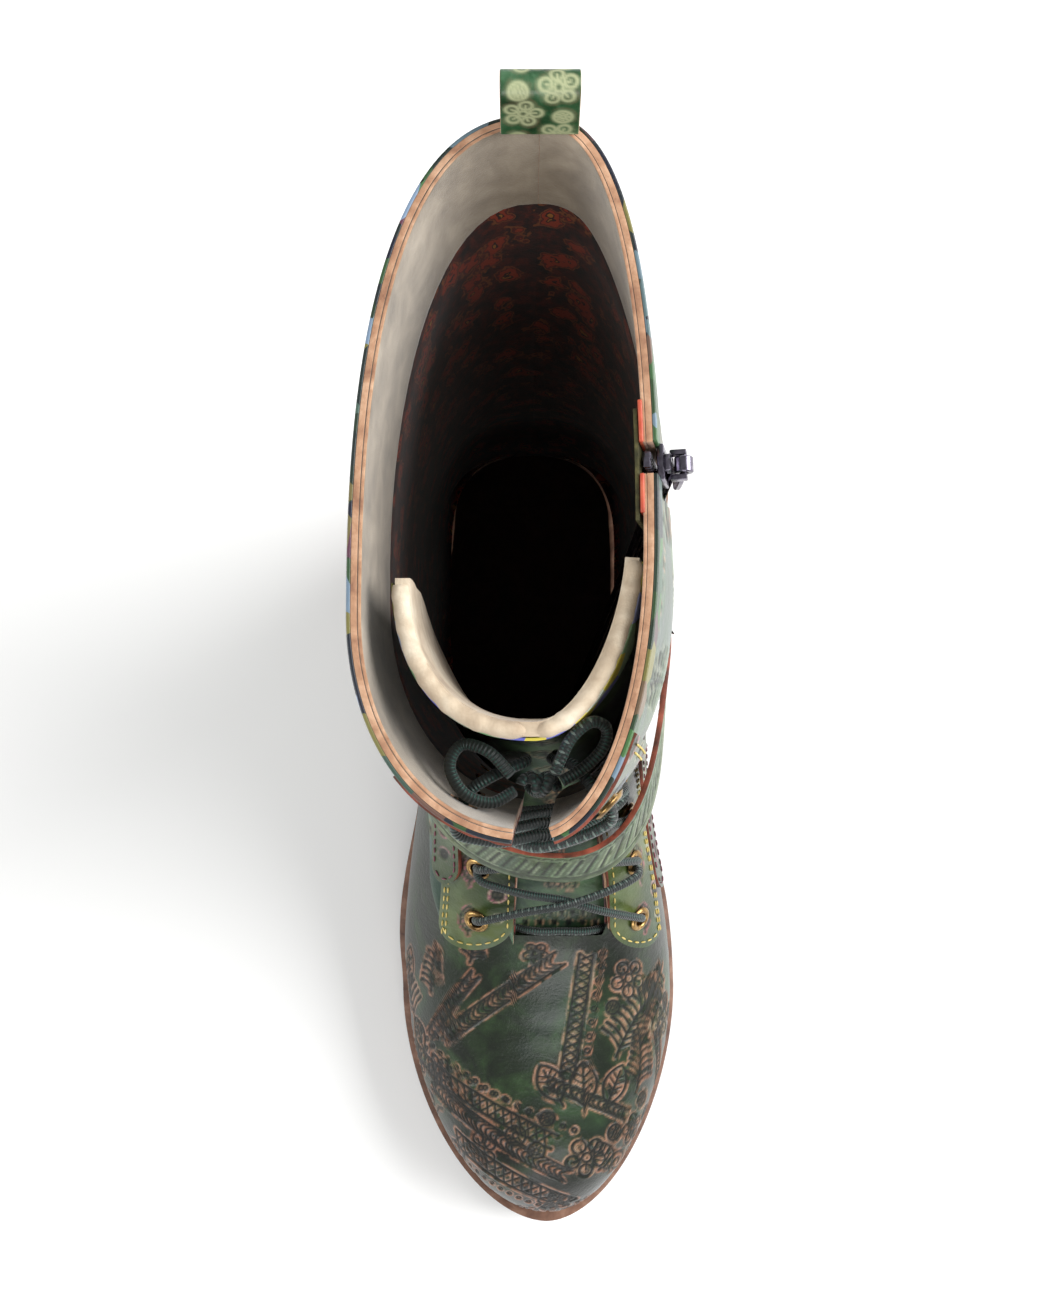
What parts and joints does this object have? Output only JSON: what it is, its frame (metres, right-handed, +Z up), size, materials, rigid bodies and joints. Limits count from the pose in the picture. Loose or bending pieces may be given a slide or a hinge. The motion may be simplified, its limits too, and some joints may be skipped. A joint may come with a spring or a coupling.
{
  "type": "victorian lace up boot",
  "caption": "Right lace-up ankle boot with a tall open facing, brass eyelets, crossed lace, side zip, ankle strap, welted sole and block heel",
  "frame": {"origin": "on the floor under the centre of the boot's box without its loose lace", "axes": "X to the medial (inner) side, Y from the toe to the heel, Z up; the toe points to -Y"},
  "size_m": [0.097, 0.286, 0.271],
  "materials": {
    "green_leather": "embossed and burnished, semi-gloss",
    "grey_green_leather": "embossed, hand-coloured edges, semi-gloss",
    "welt": "edge-dyed reddish tan",
    "suede": "suede",
    "stacked_heel": "stacked layers, polished",
    "rubber": "matte",
    "lace": "round braided cord with pale flecks",
    "brass": "aged, satin",
    "gunmetal": "dark polished plating",
    "zip_tape": "woven tape"
  },
  "bodies": {
    "boot": {"outsole": "rubber", "welt": "welt", "insole": "suede", "heel_block": "stacked_heel", "heel_lift": "rubber", "upper": "green_leather", "eyestay_lateral": "grey_green_leather", "eyestay_medial": "grey_green_leather", "tongue": "green_leather", "strap": "grey_green_leather", "tab_lateral": "grey_green_leather", "tab_medial": "grey_green_leather", "eyelet_lateral_1": "brass", "eyelet_medial_1": "brass", "eyelet_lateral_2": "brass", "eyelet_medial_2": "brass", "eyelet_lateral_3": "brass", "eyelet_medial_3": "brass", "eyelet_lateral_4": "brass", "eyelet_medial_4": "brass", "eyelet_lateral_5": "brass", "eyelet_medial_5": "brass", "eyelet_lateral_6": "brass", "eyelet_medial_6": "brass", "eyelet_lateral_7": "brass", "eyelet_medial_7": "brass", "eyelet_lateral_8": "brass", "eyelet_medial_8": "brass", "eyelet_lateral_9": "brass", "eyelet_medial_9": "brass", "lace_bar": "lace", "lace_crossing_1": "lace", "lace_crossing_2": "lace", "lace_crossing_3": "lace", "lace_crossing_4": "lace", "lace_crossing_5": "lace", "lace_crossing_6": "lace", "lace_crossing_7": "lace", "lace_crossing_8": "lace", "zip_tape": "zip_tape", "zip_teeth": "gunmetal", "zip_slider": "gunmetal", "pull_loop": "green_leather", "lace_tail_lateral": "lace", "lace_tail_medial": "lace", "lace_loop_lateral": "lace", "lace_loop_medial": "lace", "lace_knot": "lace"},
    "pull_tab": {"zip_pull": "gunmetal"}
  },
  "joints": [
    {"name": "zip_pull_hinge", "type": "hinge", "parent": "boot", "child": "pull_tab", "pos_m": [0.02819, 0.06912, 0.24503], "axis": [0.0271, -0.9996, 0], "range_deg": [0, 150]}
  ]
}
